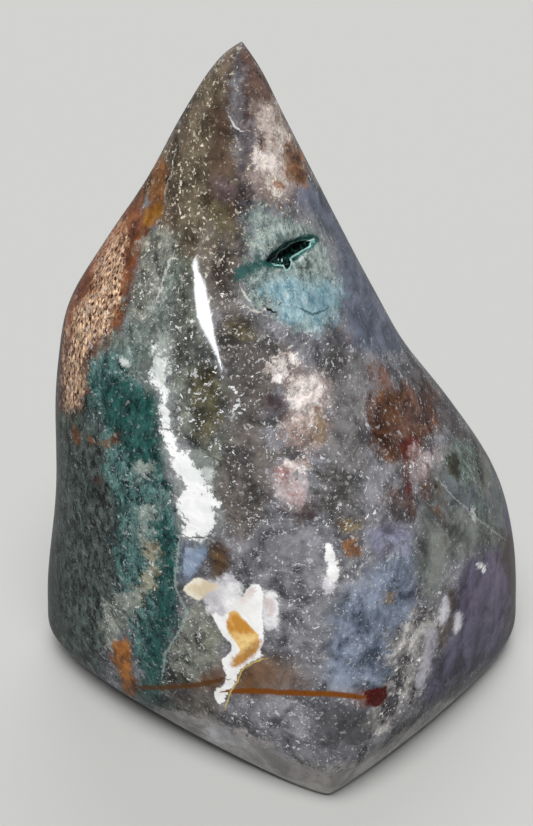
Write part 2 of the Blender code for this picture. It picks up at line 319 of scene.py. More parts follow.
    Bed("gold_amber", "80500c", "c48a30", 4, 4, .8, .1, .25, ["148,206 160,204 162,222 150,226 145,216"]),
    # The right side: steel blue, moss grey and the purple window
    Bed("steel_blue", "46536a", "90a0b8", 12, 9, .72, .28, .18,
        ["384,560 412,556 420,590 410,630 396,656 384,684 350,688 326,676 330,640 342,600 362,578"],
        ["150,510 210,500 262,530 290,580 270,640 210,660 150,640 120,590 128,545"]),
    Bed("misty_violet", "686476", "a8aac6", 7, 6, .8, .2, .08,
        ["370,536 384,524 404,522 414,536 410,556 392,552 378,556"],
        ["240,540 262,536 270,566 252,580"]),
    Bed("right_moss", "4a504b", "888c85", 10, 9, .8, .14, .22,
        ["432,470 452,440 486,450 506,490 522,560 500,556 470,552 452,560 440,590 424,600 416,560 420,524"],
        ["40,470 84,440 110,470 108,530 80,570 44,560 26,520"]),
    Bed("slate_foot", "434c58", "7c8896", 6, 6, .5, .08, .1,
        ["442,478 460,478 480,490 492,510 480,522 462,506 446,492"],
        ["30,500 50,496 60,520 40,530"]),
    Bed("purple_window", "4e4858", "7c7692", 9, 6, .94, .03, .04,
        ["456,584 474,560 500,552 530,556 546,600 530,650 496,664 470,676 448,690 430,712 420,700 "
         "434,664 448,640 452,610"],
        ["-20,540 50,530 96,560 120,610 112,670 70,706 10,716 -20,640"]),
    Bed("violet_glow", "64586f", "9488a0", 12, 6, .75, .02, .02,
        ["486,560 506,556 514,580 504,604 488,600", "470,592 484,588 486,612 474,618"],
        ["20,590 44,586 50,612 30,622"]),
    Bed("brown_shore", "483a30", "70604e", 5, 6, .75, .05, .1,
        ["448,590 455,596 452,620 448,640 442,650 438,640 446,620",
         "500,540 530,540 540,640 505,640 512,600"],
        ["84,600 104,610 104,650 90,664"]),
    # The rust cloud, and the small patches round it and down the middle
    Bed("rust_cloud", "44200e", "8c5c42", 8, 7, .88, .3, .5,
        ["374,392 396,384 420,388 436,402 438,425 426,445 422,460 404,464 388,462 376,448 369,425 367,404",
         "372,364 382,362 388,374 386,390 376,388"],
        ["120,400 160,372 206,384 226,420 216,470 190,500 150,496 116,470 104,430"]),
    Bed("rust_rim", "2c201e", "5a4a4a", 9, 5, .65, .08, .1,
        ["410,362 428,376 450,402 470,436 488,472 480,476 462,448 444,424 426,402 408,380"]),
    Bed("ember", "44240f", "8a5c38", 6, 8, .7, .28, .4,
        ["384,396 398,392 402,414 396,428 384,424", "372,420 388,424 390,446 380,448",
         "384,446 398,448 396,460 386,458", "414,428 430,428 426,436 414,436"],
        ["140,410 176,396 196,430 180,470 146,462"]),
    Bed("burnt_spot", "33211b", "6a4c40", 7, 4, .75, .25, .4,
        ["388,492 404,486 420,500 416,518 398,522 386,512", "296,505 312,500 316,512 312,522 298,524",
         "420,372 432,384 436,400 424,392"]),
    Bed("deep_red", "480c06", "78281e", 5, 3, .9, 0, .1,
        ["401,440 410,435 418,440 416,452 410,459 401,453", "260,140 263,142 263,149 260,149",
         "93,476 101,477 100,484 93,482", "284,478 292,484 290,496 282,490",
         "404,478 412,482 413,494 406,494"],
        ["206,452 216,448 220,462 210,468"]),
    Bed("blush", "80666a", "dccac8", 9, 9, .55, 1, .25,
        ["410,460 420,448 436,446 440,458 430,470 424,482 412,478",
         "276,476 292,468 306,484 304,502 290,506 280,496"],
        ["216,460 236,462 240,486 222,494"]),
    Bed("salmon", "8c5450", "d8a8a0", 6, 7, .75, .8, .2,
        ["274,470 284,468 286,482 278,488", "292,484 300,486 300,496 293,496"]),
    Bed("plum", "301618", "5c4042", 9, 4, .82, .06, .12,
        ["264,396 275,392 286,397 288,405 286,414 278,418 270,414 264,406"],
        ["240,420 256,424 258,446 244,452"]),
    Bed("mauve_mist", "6a5862", "98868f", 9, 4, .5, .25, .12,
        ["212,182 226,178 236,190 232,202 218,200"],
        ["286,110 296,112 298,130 288,134"]),
    Bed("old_gold", "5f4420", "b0904e", 6, 6, .5, .45, .3,
        ["316,408 326,410 328,436 320,444 314,430", "336,522 350,519 361,520 360,526 346,531 337,530",
         "389,634 397,637 396,648 389,647", "385,592 394,592 394,602 386,602"],
        ["330,350 344,346 350,364 338,372", "110,560 122,556 124,572 112,576"]),
    Bed("brown_plume", "4a3520", "8a6844", 8, 5, .88, .05, .15,
        ["212,546 218,541 226,546 228,562 224,576 213,578 208,564"],
        ["220,500 250,492 262,530 240,560 214,545"]),
    Bed("feather", "3a443f", "86988e", 4, 9, .7, .35, .45,
        ["450,452 458,440 471,444 481,460 479,481 466,491 455,480 447,468"],
        ["56,470 76,462 86,484 70,498"], pattern="fibre"),
    Bed("feather_core", "1c190d", "433e28", 4, 5, .85, 0, .2, ["448,460 455,456 460,466 458,476 450,474"]),
    # Round the foot
    Bed("lace", "484246", "ccc8c4", 4, 9, .9, .8, .8,
        ["411,614 420,609 434,616 435,649 429,668 419,688 411,700 401,713 391,730 378,735 366,724 "
         "366,713 386,695 385,682 391,668 388,657 394,642 397,631"],
        ["270,580 310,570 340,610 336,660 350,700 300,716 262,700 256,640"]),
    Bed("lace_hem", "8e8a98", "cfccd6", 3, 4, .8, 0, 0,
        ["426,630 434,632 435,649 430,668 420,687 415,684 422,664 425,648"]),
    Bed("brown_glow", "54433c", "907868", 13, 2, .8, .12, .12,
        ["232,672 262,656 290,660 304,676 300,690 232,692",
         "212,662 224,660 226,684 200,686 172,686 180,680 204,678"]),
    Bed("amber_glow", "6a4420", "a07444", 9, 4, .5, .15, .12,
        ["236,672 258,658 274,664 272,688 240,690", "194,676 220,664 222,688 196,690",
         "198,632 212,628 214,648 200,654"]),
    Bed("ash_foot", "4c4440", "7c7468", 8, 6, .8, .25, .18,
        ["168,690 212,692 222,706 216,724 190,716 170,702"]),
    # Painted shade: the foot is darker in the middle and along the lower right edge in front, and low on the
    # back, where the bevel turns down to the shadowed floor.
    Bed("dark_foot", "1b181a", "4c484c", 11, 5, .7, .12, .1,
        ["318,706 350,704 374,712 368,738 340,754 314,744",
         "436,690 470,670 500,648 512,640 500,672 450,705 380,757 388,735"],
        ["120,700 200,690 260,706 250,730 150,728"]),
    # White chalk and what lies round it
    Bed("lavender_shade", "5c6478", "8c96a8", 3, 4, .85, .1, .15,
        ["182,540 200,538 206,546 204,560 196,570 188,582 180,578 180,556"]),
    Bed("lavender", "8ca0be", "c2d2e6", 3, 4, .85, .1, .1,
        ["186,548 200,548 204,554 199,565 194,572 188,576 184,566"]),
    Bed("moss_curl", "3a3c33", "9da092", 6, 8, .88, .7, .45,
        ["184,602 206,604 218,618 222,640 216,662 196,682 168,684 168,660 180,634 186,616"]),
    Bed("chalk_veil", "767c78", "b8bfba", 7, 6, .75, .25, .1,
        ["134,356 152,350 160,336 168,340 172,360 170,382 176,396 172,410 164,404 156,388 146,388 134,376",
         "160,402 172,408 172,430 176,448 192,446 212,462 216,484 206,492 222,500 218,530 200,544 "
         "180,536 174,508 176,480 166,462 160,430"],
        ["330,360 372,372 384,440 384,500 372,560 350,590 322,580 326,520 328,460 322,400"]),
    Bed("white_chalk", "eaecec", "ffffff", 2, 5.5, 1, 0, 0,
        ["160,384 164,385 166,396 168,412 171,430 165,431 163,416 161,400",
         "163,430 170,431 174,440 177,449 184,450 190,450 192,456 194,463 197,470 201,478 206,484 "
         "209,488 203,492 212,497 219,500 224,500 222,504 214,506 217,510 213,514 215,520 217,526 "
         "213,531 208,535 200,536 190,538 184,535 182,526 178,518 176,508 176,500 179,492 182,486 "
         "180,478 176,470 171,464 172,458 167,452 164,444"],
        ["352,372 362,380 360,410 370,430 366,456 376,470 370,500 360,520 364,548 350,572 338,560 "
         "346,530 340,505 350,480 344,450 352,425 346,395"]),
    Bed("milk_drops", "c8c6d0", "f4f2f6", 3, 1.5, .95, 0, 0,
        ["443,597 447,596 449,602 448,613 444,623 441,627 440,620 441,608",
         "456,614 460,612 462,617 461,625 458,632 455,634 454,626"]),
    # The smooth bevel at the foot, painted pale grey as the floor's reflection in it, and the last touches of
    # white and copper
    Bed("bevel_ash", "9a9694", "c0bbb8", 7, 6, .9, .05, .12,
        ["160,707 190,712 226,725 262,743 296,761 330,771 356,763 390,744 424,719 450,700 462,708 "
         "436,730 400,756 364,784 336,808 300,800 250,778 196,750 160,726"]),
    # A painted reflection: a paler patch of the floor's reflection on the bevel.
    Bed("bevel_milk", "b0b0b6", "e0dee4", 5, 5, .8, 0, 0, ["206,724 232,732 244,744 226,744 206,736"]),
    Bed("chalk_top", "c6ceca", "ffffff", 3, 6, .97, .5, 0,
        ["152,350 155,344 158,352 163,350 166,357 171,361 166,366 167,378 164,388 156,390 151,382 150,366"]),
    Bed("copper_brow", "6c3020", "b4704c", 9, 7, .6, .25, .05,
        ["60,330 66,300 84,272 104,240 126,212 140,200 138,214 120,236 104,262 92,284 80,306 72,330"]),
    Bed("chalk_grit", "cfd4d2", "f4f6f4", 2, 4, .7, 0, 0,
        ["122,361 126,360 127,365 123,366", "162,412 169,412 171,428 164,429",
         "204,470 214,472 212,482 205,480", "470,510 475,512 477,522 472,522",
         "236,584 241,580 244,590 240,594"]),
    # The white mass with its cream lobe and amber heart, and the white star
    Bed("white_smoke", "d8d4da", "ffffff", 3.5, 4, .9, .3, 0,
        ["203,592 208,584 216,580 226,574 236,576 240,590 242,600 236,606 230,612 220,620 212,615 206,604",
         "262,596 272,594 278,604 277,624 268,632 262,626", "322,576 333,574 332,590 324,592"]),
    Bed("white_star", "d8d4d2", "ffffff", 1.4, 3, .95, 0, 0,
        ["326,548 332,545 335,556 339,560 339,570 335,580 330,584 327,572",
         "478,565 484,563 486,569 480,571"]),
    Bed("star_heart", "5a4038", "7c6050", 1, 1, .9, 0, 0, ["336,563 340,562 341,567 337,568"]),
    Bed("cream_lobe", "e2d2b4", "fdf6e8", 1.2, 1, 1, 0, 0,
        ["183,589 186,585 191,581 196,578 203,579 208,582 214,584 221,582 218,588 210,592 206,594 "
         "203,599 199,601 193,598 188,595"]),
    Bed("cream_tan", "c8ac7c", "e4cfa8", 2.5, 2, .6, 0, 0, ["189,586 197,583 200,590 194,594 189,591"]),
    Bed("white_mass", "f2f0ee", "ffffff", .9, 2, 1, 0, 0,
        ["242,600 246,590 254,584 261,586 264,597 262,612 263,630 264,640 261,652 264,657 254,660 "
         "243,668 237,675 233,688 225,696 222,704 216,702 215,692 221,686 226,672 223,660 232,652 "
         "228,641 221,632 214,622 214,612 224,616 232,604 236,600"]),
    Bed("rose_tip", "c8a8a4", "ecdcd8", 2, 3, .6, .1, .1,
        ["243,596 250,588 253,590 248,600 243,604", "266,602 272,600 274,612 268,614"]),
    Bed("amber", "dc9a40", "fbd892", 1.2, 1.5, 1, 0, 0,
        ["233,610 227,619 228,631 236,643 240,651 231,663 235,667 241,664 255,652 259,643 258,634 "
         "250,625 242,617"]),
    Bed("amber_foot", "a86420", "cf8c3c", 4, 2, .75, 0, 0,
        ["240,652 258,640 262,646 244,664 232,666 234,660"]),
    # The end of the rust vein
    Bed("vein_ember", "7a3410", "a8581c", 4, 3, .35, 0, 0, ["350,693 366,690 370,700 366,706 350,700"]),
    Bed("vein_knot", "380804", "66140a", 2.5, 2.5, .98, 0, 0,
        ["368,690 378,688 387,687 386,696 380,706 368,706 365,699"]),
    # The band round the slit's mouth, and the mouth, whose dark green lining is deepened to near black with
    # painted shade
    Bed("slit_band", "0c3a38", "2a6a64", 1.6, 2, .95, 0, 0, [SLIT], deep=9, grow=2.6),
    # Partly painted shade: the vug's dark green lining is painted near black where the hollow lies in shade.
    Bed("slit_dark", "020807", "0a2a26", .7, .8, 1, 0, 0, [SLIT_RIM], deep=9, grow=.3),
]

# A vein: a thin line of one tint, with its width, softness and raggedness in sheet steps, how much it
# covers, and the sheet that its path lies on
Vein = namedtuple("Vein", "name tint wide soft ragged cover sheet path")
VEINS = [
    Vein("seam_thread", "a3b6b0", 2.2, 1.8, 2, .75, "front",
         "180,538 177,560 175,575 176,590 180,600 187,613 182,627 174,641 166,655 163,672"),
    Vein("seam_shade", "5a6672", 1.6, 1.5, 1.5, .6, "front", "184,545 182,560 181,576"),
    Vein("chalk_crack", "4c504e", 1.2, 1, 1, .8, "front", "182,513 184,517 187,520"),
    Vein("chalk_hem", "50545c", 1.8, 1.2, 1.5, .8, "front", "183,536 190,539 198,537 205,538"),
    Vein("chalk_nick", "3c403e", 1.6, 1.2, 1, .8, "front", "164,428 168,430 173,429"),
    # A painted highlight: the pale line round the vug's lip, where its polished edge catches the light.
    Vein("slit_rim", "a4d2cc", 1.4, 1.2, .9, .85, "front", SLIT_RIM + " 270,262"),
    Vein("brow_thread", "c9c8c0", 1.2, 1.5, 3, .6, "front", "178,145 171,172 165,200"),
    Vein("moss_thread", "d4d8d4", 2.6, 2.2, 2.5, .7, "front", "171,258 164,275 157,296"),
    Vein("pool_hem", "dcdace", 2.6, 1.8, 1.5, .75, "front", "242,289 244,294 248,300"),
    Vein("pool_hem_low", "d8d4c8", 2.2, 1.8, 1.5, .7, "front", "250,309 256,311 261,313"),
    # A painted highlight: a short bright curl on the ridge below the tip, where the ridge reflects the light.
    Vein("crown_curl", "d8d8de", 2.2, 1.5, 1, .8, "front", "230,117 234,126 241,131"),
    Vein("right_crack", "a8aaa6", 1.5, 1.5, 2, .7, "front", "440,480 455,498 471,513 502,537"),
    Vein("pool_crack", "1c5458", 2.6, 2, 1.5, .8, "front", "303,309 307,313 313,315 323,311"),
    Vein("pool_pit", "04080a", 3, .8, .5, .95, "front", "267,308 273,312"),
    Vein("pool_fold", "3c4a3c", 2.4, 1.6, 1.5, .7, "front", "300,268 306,269 309,263 305,258"),
    Vein("rust_vein_left", "6e4410", 5, 3, 1.5, .85, "front", "140,687 166,687 187,686 208,683 221,680"),
    Vein("rust_vein", "8e4e06", 5.6, 2.6, .6, .97, "front", "228,691 259,691 299,693 334,694 361,697"),
    Vein("yellow_seam", "dcc070", 1.6, 1, 1, .8, "front",
         "264,659 252,663 242,670 237,682 230,694 225,706"),
    Vein("back_vein", "9a5818", 3.4, 1.8, 1.5, .95, "back",
         "40,640 100,660 160,650 220,672 300,664 350,690"),
    Vein("back_thread", "a3b6b0", 2.2, 1.8, 2.5, .7, "back", "362,566 370,600 364,640 370,690"),
    Vein("back_curl", "d4d6dc", 2, 1.6, 2, .7, "back", "120,440 150,470 168,500 200,506"),
]


def tint(code):
    """A colour written as six hexadecimal digits, made linear."""
    shares = [int(code[k:k + 2], 16) / 255 for k in (0, 2, 4)]
    return [s / 12.92 if s <= .04045 else ((s + .055) / 1.055) ** 2.4 for s in shares] + [1.0]


def stone_tint(code):
    """A tint of the stone made as deep as polish makes it: dark tints darken, white stays."""
    red, green, blue, whole = tint(code)
    light = sum(weight * share for weight, share in zip(LIGHTNESS, (red, green, blue)))
    depth = light ** (POLISH_DEPTH - 1)
    return [red * depth, green * depth, blue * depth, whole]


def even(value):
    """A vector with the same value three times."""
    return (value, value, value)


# ---------------------------------------------------------------- sheets and outlines

def direction(azimuth, elevation):
    """The way from the stone out to that azimuth and elevation in degrees; azimuth 0 is the front."""
    a, e = math.radians(azimuth), math.radians(elevation)
    return np.array((math.sin(a) * math.cos(e), -math.cos(a) * math.cos(e), math.sin(e)))


def sight_frame(azimuth, elevation):
    """The eye and the right, up and forward directions of a sight line onto the stone."""
    back = direction(azimuth, elevation)
    right = np.array((math.cos(math.radians(azimuth)), math.sin(math.radians(azimuth)), 0.0))
    return SIGHT_TARGET + SIGHT_DISTANCE * back, right, np.cross(right, -back), -back


def on_sheet(points, sight):
    """Where points of the stone fall on the sheet of that sight line: right and down."""
    eye, right, up, forward = sight_frame(*sight)
    ray = points - eye
    scale = LENS / SENSOR * SHEET_TALL / (ray @ forward)
    return np.stack((SHEET_WIDE / 2 + scale * (ray @ right), SHEET_TALL / 2 - scale * (ray @ up)), axis=1)


def facing(points, normals, sight):
    """1 where the skin looks at the eye of that sight line, 0 edge on, -1 where it looks away."""
    eye = sight_frame(*sight)[0]
    ray = eye - points
    ray /= np.linalg.norm(ray, axis=1)[:, None]
    return np.einsum("ij,ij->i", ray, normals)


def path_points(path):
    """The points of a path written as "x,y x,y ..."."""
    return np.array([[float(v) for v in pair.split(",")] for pair in path.split()])


def rounded_loop(corners):
    """A closed outline with its corners eased: a Catmull-Rom curve through them."""
    before, after, beyond = np.roll(corners, 1, 0), np.roll(corners, -1, 0), np.roll(corners, -2, 0)
    rows = []
    for t in np.arange(LOOP_STEPS) / LOOP_STEPS:
        rows.append(.5 * (2 * corners + (after - before) * t
                          + (2 * before - 5 * corners + 4 * after - beyond) * t ** 2
                          + (3 * corners - before - 3 * after + beyond) * t ** 3))
    return np.stack(rows, axis=1).reshape(-1, 2)


def loop_reach(spots, outline):
    """How far each spot lies inside a closed outline, in sheet steps; less than 0 outside."""
    loop = rounded_loop(path_points(outline))
    low, high = loop.min(0) - FAR_REACH, loop.max(0) + FAR_REACH
    near = np.all((spots > low) & (spots < high), axis=1)
    reach = np.full(len(spots), -FAR_REACH)
    p = spots[near]
    nearest = np.full(len(p), FAR_REACH)
    inside = np.zeros(len(p), bool)
    for a, b in zip(loop, np.roll(loop, -1, 0)):
        edge = b - a
        along = np.clip((p - a) @ edge / (edge @ edge), 0, 1)
        gap = p - a - along[:, None] * edge
        nearest = np.minimum(nearest, np.hypot(gap[:, 0], gap[:, 1]))
        crosses = (a[1] > p[:, 1]) != (b[1] > p[:, 1])
        if a[1] != b[1]:
            inside ^= crosses & (p[:, 0] < edge[0] * (p[:, 1] - a[1]) / edge[1] + a[0])
    reach[near] = np.where(inside, nearest, -nearest)
    return reach


def line_offset(spots, path):
    """The signed distance of each spot from a line, which tapers at its ends, and the plain distance."""
    points = path_points(path)
    best = np.full(len(spots), np.inf)
    offset = np.zeros(len(spots))
    lengths = np.linalg.norm(np.diff(points, axis=0), axis=1)
    starts = np.concatenate(([0.0], np.cumsum(lengths)))
    for k, (a, b) in enumerate(zip(points[:-1], points[1:])):
        way = (b - a) / lengths[k]
        along = (spots - a) @ way
        held = np.clip(along, 0, lengths[k])
        gap = spots - a - held[:, None] * way
        far = np.hypot(gap[:, 0], gap[:, 1])
        closer = far < best
        best[closer] = far[closer]
        side = np.sign(way[0] * (spots - a)[:, 1] - way[1] * (spots - a)[:, 0])
        run = starts[k] + along
        taper = np.maximum(0, TAPER_RUN - np.minimum(run, starts[-1] - run)) * TAPER_SLOPE
        offset[closer] = ((far + taper) * np.where(side < 0, -1, 1))[closer]
    return offset, best


# ---------------------------------------------------------------- node helpers

class Nodes:
    """A node tree with short ways to add and join nodes."""

    def __init__(self, tree):
        self.tree = tree

    def add(self, kind, inputs=(), **settings):
        """A new node of that kind, with its inputs fed and its settings made."""
        node = self.tree.nodes.new(kind)
        for key, value in settings.items():
            setattr(node, key, value)
        for key, value in dict(inputs).items():
            self.feed(node.inputs[key], value)
        return node

    def feed(self, socket, value):
        """Links a socket or a node's first output to the socket, or sets the value on it."""
        if isinstance(value, bpy.types.NodeSocket):
            self.tree.links.new(value, socket)
        elif isinstance(value, bpy.types.Node):
            self.tree.links.new(value.outputs[0], socket)
        else:
            socket.default_value = value

    def math(self, operation, a, b=0.0, c=0.0, clamp=False):
        """Arithmetic on numbers."""
        node = self.add("ShaderNodeMath", {0: a, 1: b, 2: c}, operation=operation, use_clamp=clamp)
        return node.outputs[0]

    def vector(self, operation, a, b=(0, 0, 0), c=(0, 0, 0)):
        """Arithmetic on vectors."""
        return self.add("ShaderNodeVectorMath", {0: a, 1: b, 2: c}, operation=operation).outputs[0]

    def scaled(self, vector, share):
        """A vector or a colour times a number."""
        return self.add("ShaderNodeVectorMath", {0: vector, "Scale": share}, operation="SCALE").outputs[0]

    def ramp(self, value, low, high, to_low=0.0, to_high=1.0):
        """value smoothly stepped from to_low at low to to_high at high."""
        return self.add("ShaderNodeMapRange", {0: value, 1: low, 2: high, 3: to_low, 4: to_high},
                        interpolation_type="SMOOTHSTEP").outputs[0]

    def blend(self, share, a, b):
        """Colour a where share is 0, b where it is 1."""
        return self.add("ShaderNodeMix", {0: share, 6: a, 7: b}, data_type="RGBA").outputs[2]


def interface(tree, inputs, outputs):
    """Gives a node group its named inputs and outputs."""
    kinds = {"float": "NodeSocketFloat", "colour": "NodeSocketColor", "geometry": "NodeSocketGeometry",
             "int": "NodeSocketInt", "material": "NodeSocketMaterial"}
    for name, kind in inputs:
        tree.interface.new_socket(name, in_out="INPUT", socket_type=kinds[kind])
    for name, kind in outputs:
        tree.interface.new_socket(name, in_out="OUTPUT", socket_type=kinds[kind])


def blank_material(name):
    """A material with no nodes yet, and the helper to fill it."""
    material = bpy.data.materials.new(name)
    material.use_nodes = True
    material.node_tree.nodes.clear()
    return material, Nodes(material.node_tree)


def object_place(n):
    """The place on the object in millimetres."""
    return n.vector("MULTIPLY", n.add("ShaderNodeTexCoord").outputs["Object"], even(MM_PER_METRE))


def wave_noise(n, spot, waves):
    """A noise of that many waves to a millimetre, with its detail, roughness and bend."""
    size, detail, roughness, *bend = waves
    return n.add("ShaderNodeTexNoise", {"Vector": spot, "Scale": size, "Detail": detail,
                                        "Roughness": roughness, "Distortion": bend[0] if bend else 0.0})


def centred_noise(n, spot, waves):
    """A noise from about -1 to 1."""
    return n.math("MULTIPLY_ADD", wave_noise(n, spot, waves).outputs[0], NOISE_SPAN, NOISE_LOW)


def noise_trio(n, spot, waves):
    """Three noises from about -1 to 1, in one vector."""
    return contrasted(n, wave_noise(n, spot, waves).outputs["Color"], NOISE_SPAN, NOISE_LOW)


def contrasted(n, trio, contrast, middle):
    """Three values in a vector, each times contrast and lifted by middle."""
    return n.vector("MULTIPLY_ADD", trio, even(contrast), even(middle))


def parts(n, vector):
    """The three parts of a vector."""
    return n.add("ShaderNodeSeparateXYZ", {0: vector}).outputs[:3]


# ---------------------------------------------------------------- the jasper material

def bed_group():
    """Lays one bed of colour over what is under it, and sets the fleck and speck shares there."""
    tree = bpy.data.node_groups.new("bed of colour", "ShaderNodeTree")
    interface(tree,
              [("Under", "colour"), ("Pale Under", "float"), ("Dark Under", "float"), ("Reach", "float"),
               ("Edge", "float"), ("Grit", "float"), ("Mottle", "float"), ("Low", "colour"),
               ("High", "colour"), ("Soft", "float"), ("Ragged", "float"), ("Cover", "float"),
               ("Pale", "float"), ("Dark", "float")],
              [("Colour", "colour"), ("Pale", "float"), ("Dark", "float")])
    n = Nodes(tree)
    given = n.add("NodeGroupInput").outputs
    uneven = n.math("MULTIPLY_ADD", given["Edge"], given["Ragged"], given["Reach"])
    stray = n.math("MULTIPLY", given["Soft"], DUST_REACH)
    dusty = n.math("MULTIPLY_ADD", given["Grit"], stray, uneven)
    outer = n.math("MULTIPLY", given["Soft"], -DUST_STEP)
    inner = n.math("MULTIPLY", given["Soft"], DUST_STEP)
    mask = n.ramp(dusty, outer, inner, 0.0, given["Cover"])
    tone = n.blend(given["Mottle"], given["Low"], given["High"])
    out = n.add("NodeGroupOutput").inputs
    n.feed(out["Colour"], n.blend(mask, given["Under"], tone))
    for share in ("Pale", "Dark"):
        shares = {0: mask, 2: given[share + " Under"], 3: given[share]}
        n.feed(out[share], n.add("ShaderNodeMix", shares, data_type="FLOAT").outputs[0])
    return tree


def skin_marks(n):
    """Every mark of the skin's points, by its name."""
    names, found = mark_names(), {}
    for start in range(0, len(names), 3):
        mark = n.add("ShaderNodeAttribute", attribute_name=f"marks_{start // 3}")
        found.update(zip(names[start:start + 3], parts(n, mark.outputs["Vector"])))
    return found


def stone_shader():
    """Polished jasper: the ground, the beds and the veins over it, and then the grain and the flecks."""
    material, n = blank_material("ocean jasper")
    spot = object_place(n)
    broad, mid, fine = [noise_trio(n, spot, waves) for waves in (BROAD_WAVES, MID_WAVES, FINE_WAVES)]
    wavy = n.vector("MULTIPLY_ADD", mid, even(MID_SHARE), broad)
    edges = parts(n, n.vector("MULTIPLY_ADD", fine, even(FINE_SHARE), wavy))
    grits = parts(n, noise_trio(n, spot, GRIT_WAVES))
    patterns = tint_patterns(n, spot)
    ground = n.blend(patterns["cloud"][0], *[stone_tint(code) for code in BASE_TINTS])
    marks = skin_marks(n)
    colour, pale, dark = bedded(n, ground, marks, edges, grits, patterns)
    colour, pale = veined(n, colour, pale, marks, edges[0])
    colour = grained(n, spot, colour, pale, dark)
    colour = flecked(n, spot, colour, pale, dark)
    skin = n.add("ShaderNodeBsdfPrincipled", {"Base Color": colour, "Roughness": STONE_ROUGHNESS,
                                              "IOR": QUARTZ_IOR, "Specular IOR Level": STONE_SPECULAR})
    n.feed(n.add("ShaderNodeOutputMaterial").inputs["Surface"], skin)
    return material


def bedded(n, colour, marks, edges, grits, patterns):
    """The beds laid over the ground in turn: the colour, and the shares of pale flecks and dark specks."""
    pale, dark = BASE_FLECKS, BASE_SPECKS
    group = bed_group()
    for k, b in enumerate(BEDS):
        layer = n.add("ShaderNodeGroup", node_tree=group)
        turn = k % 3
        values = {"Under": colour, "Pale Under": pale, "Dark Under": dark, "Reach": marks[b.name],
                  "Edge": edges[turn], "Grit": grits[turn], "Mottle": patterns[b.pattern][turn],
                  "Low": stone_tint(b.low), "High": stone_tint(b.high), "Soft": b.soft,
                  "Ragged": b.ragged, "Cover": b.cover, "Pale": b.pale, "Dark": b.dark}
        for key, value in values.items():
            n.feed(layer.inputs[key], value)
        colour, pale, dark = layer.outputs
    return colour, pale, dark


def veined(n, colour, pale, marks, edge):
    """The veins over the beds: the colour, and the share of pale flecks, which wide veins clear away."""
    for v in VEINS:
        wavy = n.math("ABSOLUTE", n.math("MULTIPLY_ADD", edge, v.ragged, marks[v.name]))
        across = n.ramp(wavy, (v.wide + v.soft) / 2, (v.wide - v.soft) / 2)
        margin = v.wide / 2 + v.soft + v.ragged * RAGGED_MARGIN
        near = n.ramp(marks[v.name + "_far"], margin + VEIN_MARGIN, margin, 0.0, v.cover)
        mask = n.math("MULTIPLY", across, near)
        colour = n.blend(mask, colour, stone_tint(v.tint))
        if v.wide > CLEAR_WIDTH:
            pale = n.math("MULTIPLY", pale, n.math("SUBTRACT", 1.0, mask))
    return colour, pale


def tint_patterns(n, spot):
    """The patterns, three of each and from 0 to 1, that mix a bed's dark and light tints."""
    cloud = contrasted(n, noise_trio(n, spot, CLOUD_WAVES), CLOUD_CONTRAST, CLOUD_MIDDLE)
    drawn = n.vector("MULTIPLY", spot, FIBRE_DRAW)
    fibre = contrasted(n, noise_trio(n, drawn, FIBRE_WAVES), FIBRE_CONTRAST, FIBRE_MIDDLE)
    upright = n.vector("MULTIPLY", spot, SPARKLE_DRAW)
    glint = n.add("ShaderNodeTexVoronoi", {"Vector": upright, "Scale": GLINTS})
    tone = contrasted(n, glint.outputs["Color"], GLINT_CONTRAST, GLINT_MIDDLE)
    core = n.ramp(glint.outputs["Distance"], GLINT_RIM, GLINT_CORE)
    spark = n.scaled(tone, core)
    drift = contrasted(n, noise_trio(n, upright, SPARKLE_WAVES), SPARKLE_CONTRAST, SPARKLE_MIDDLE)
    sparkle = n.vector("ADD", spark, drift)
    found = {}
    for name, trio in (("cloud", cloud), ("fibre", fibre), ("sparkle", sparkle)):
        found[name] = [n.math("ADD", part, 0.0, clamp=True) for part in parts(n, trio)]
    return found


def grained(n, spot, colour, pale, dark):
    """The colour with soft mottling, strongest where there are many flecks and specks."""
    amount = n.math("MULTIPLY_ADD", n.math("ADD", pale, dark), GRAIN_CONTRAST, GRAIN_FLOOR)
    tone = n.math("MULTIPLY", centred_noise(n, spot, MOTTLE_WAVES), MOTTLE_STRENGTH)
    lift = n.math("MAXIMUM", n.math("MULTIPLY_ADD", tone, amount, 1.0), MOTTLE_DARKEST)
    return n.scaled(colour, lift)


def rod(n, offset, lean, half_length, radius):
    """1 inside a short rod round the middle of a cell and 0 outside it."""
    dot = n.add("ShaderNodeVectorMath", {0: offset, 1: lean}, operation="DOT_PRODUCT")
    held = n.math("MINIMUM", n.math("MAXIMUM", dot.outputs["Value"], -half_length), half_length)
    nearest = n.scaled(lean, held)
    away = n.add("ShaderNodeVectorMath", {0: n.vector("SUBTRACT", offset, nearest)}, operation="LENGTH")
    return n.ramp(n.math("SUBTRACT", radius, away.outputs["Value"]), -STROKE_BLUR, STROKE_BLUR)


